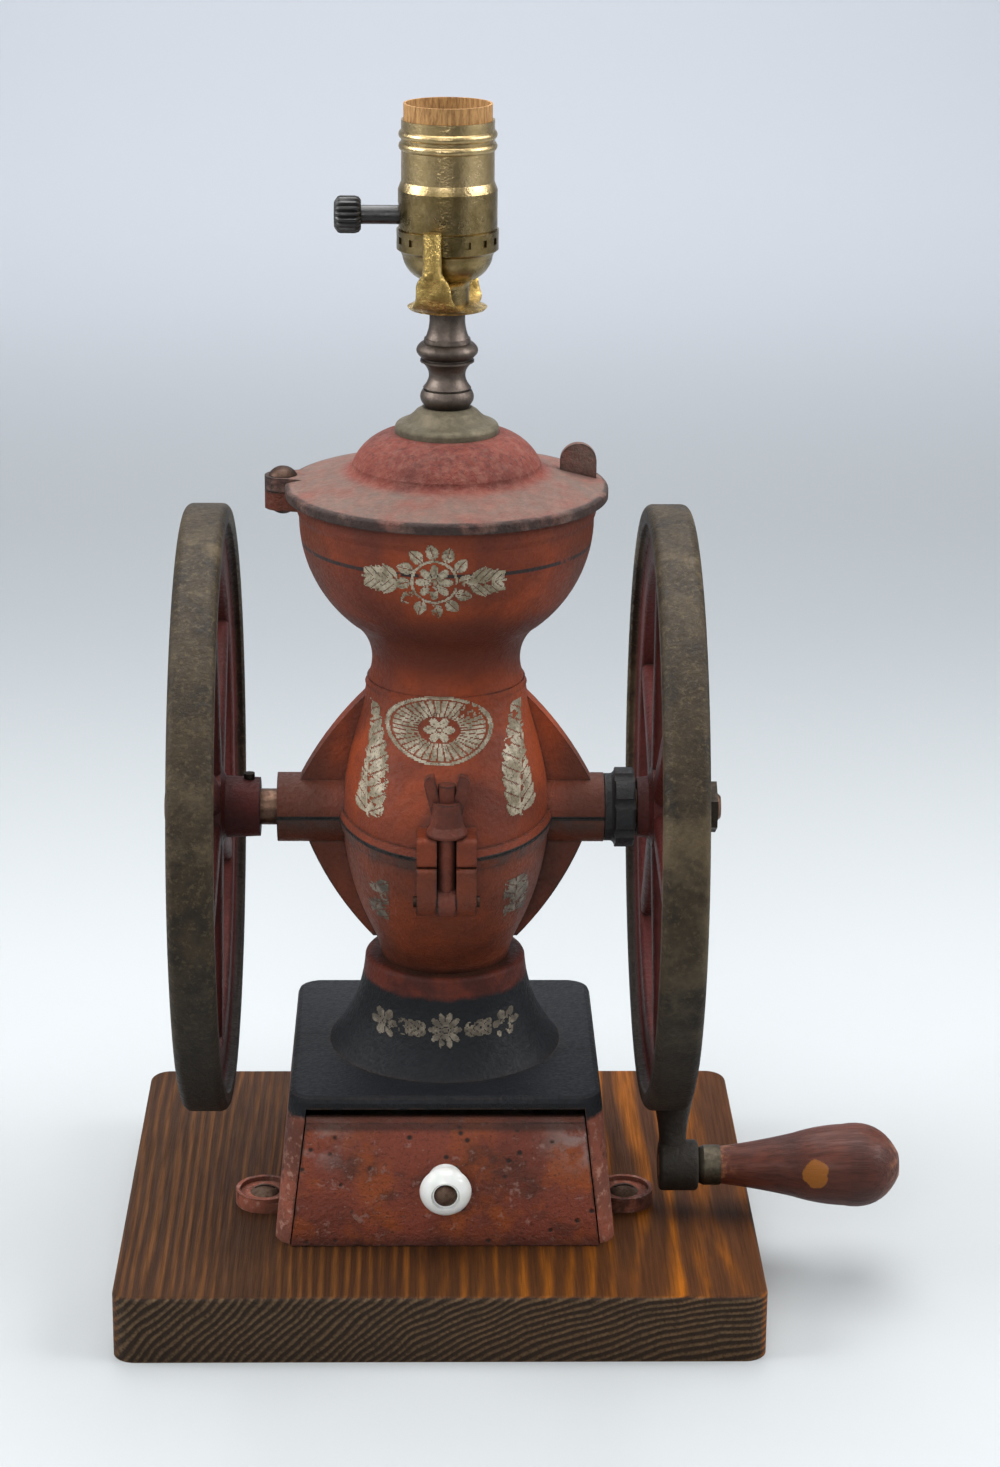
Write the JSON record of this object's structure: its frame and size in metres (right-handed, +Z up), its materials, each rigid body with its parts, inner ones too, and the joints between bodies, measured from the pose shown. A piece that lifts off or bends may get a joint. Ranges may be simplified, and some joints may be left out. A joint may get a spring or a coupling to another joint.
{
  "type": "coffee grinder mill",
  "caption": "Cast iron counter coffee mill with flywheels, crank, hopper and drawer on a wooden board, fitted with a lamp stem and socket on its lid.",
  "frame": {"origin": "underside of the board, straight below the mill's upright axis", "axes": "+Z up, +X toward the crank, -Y toward the drawer front"},
  "size_m": [0.2865, 0.222, 0.4295],
  "materials": {
    "board_wood": "stained and varnished",
    "red_paint": "worn enamel over cast iron",
    "maroon_paint": "worn enamel over cast iron",
    "black_paint": "worn enamel over cast iron",
    "drawer_paint": "pitted enamel on sheet iron",
    "tin_sheet": "dull tinned sheet",
    "iron": "bare and darkened",
    "steel": "turned",
    "bush_bronze": "turned bearing bronze",
    "porcelain": "white glaze",
    "rusty_iron": "rusted",
    "aged_bronze": "dark patina",
    "cap_metal": "greenish grey patina",
    "gilt_brass": "rough gilt",
    "socket_brass": "aged shell brass",
    "card": "pressed card",
    "bakelite": "moulded",
    "contact_brass": "clean",
    "grip_wood": "turned and worn",
    "ferrule_metal": "dull plated"
  },
  "bodies": {
    "mill": {"base_board": "board_wood", "mill_base": "black_paint", "base_screw_left": "rusty_iron", "base_screw_right": "rusty_iron", "lower_case": "red_paint", "hopper": "red_paint", "bearing_bush_left": "bush_bronze", "adjusting_sleeve": "bush_bronze", "fixed_burr": "iron", "swing_bolt_pin": "steel", "rear_hinge_pin": "steel", "lid_rivet": "iron"},
    "drive": {"main_shaft": "steel", "left_wheel": "maroon_paint", "left_wheel_screw": "iron", "right_wheel": "maroon_paint", "wheel_nut": "iron", "turning_burr": "iron", "feed_worm": "iron", "crank_pin": "steel"},
    "grip": {"grip_ferrule": "ferrule_metal", "crank_grip": "grip_wood"},
    "adjuster": {"adjusting_nut": "black_paint"},
    "drawer": {"drawer_tray": "tin_sheet", "drawer_front": "drawer_paint", "drawer_knob": "porcelain", "knob_screw": "rusty_iron", "knob_nut": "iron"},
    "lid": {"lid": "red_paint", "vase_cap": "cap_metal", "lamp_pipe": "steel", "pipe_washer": "steel", "pipe_nut": "steel", "lamp_spindle": "aged_bronze", "harp_saddle": "gilt_brass", "socket_cap": "socket_brass", "socket_shell": "socket_brass", "socket_liner": "card", "switch_block": "bakelite", "screw_shell": "contact_brass", "centre_contact": "contact_brass"},
    "switch": {"switch_key": "bakelite"},
    "clamp_bolt": {"swing_bolt": "steel"},
    "clamp_nut": {"wing_nut": "iron"}
  },
  "joints": [
    {"name": "wheel_spin", "type": "hinge", "parent": "mill", "child": "drive", "pos_m": [0, 0, 0.1732], "axis": [1, 0, 0], "continuous": true},
    {"name": "grip_spin", "type": "hinge", "parent": "drive", "child": "grip", "pos_m": [0.12, -0.0333, 0.04444], "axis": [1, 0, 0], "continuous": true},
    {"name": "grind_adjust", "type": "hinge", "parent": "mill", "child": "adjuster", "pos_m": [0.063, 0, 0.1732], "axis": [1, 0, 0], "range_deg": [-180, 180]},
    {"name": "drawer_slide", "type": "slide", "parent": "mill", "child": "drawer", "axis": [0, -1, 0], "range_m": [0, 0.09]},
    {"name": "lid_swivel", "type": "hinge", "parent": "mill", "child": "lid", "pos_m": [-0.0585, 0.007, 0.2915], "axis": [0, 0, 1], "range_deg": [0, 110]},
    {"name": "switch_turn", "type": "hinge", "parent": "lid", "child": "switch", "pos_m": [0, 0, 0.391], "axis": [1, 0, 0], "continuous": true},
    {"name": "clamp_swing", "type": "hinge", "parent": "mill", "child": "clamp_bolt", "pos_m": [0, -0.061, 0.1595], "axis": [1, 0, 0], "range_deg": [0, 105]},
    {"name": "wing_nut_turn", "type": "hinge", "parent": "clamp_bolt", "child": "clamp_nut", "pos_m": [0, -0.061, 0.19], "axis": [0, 0, 1], "continuous": true}
  ]
}
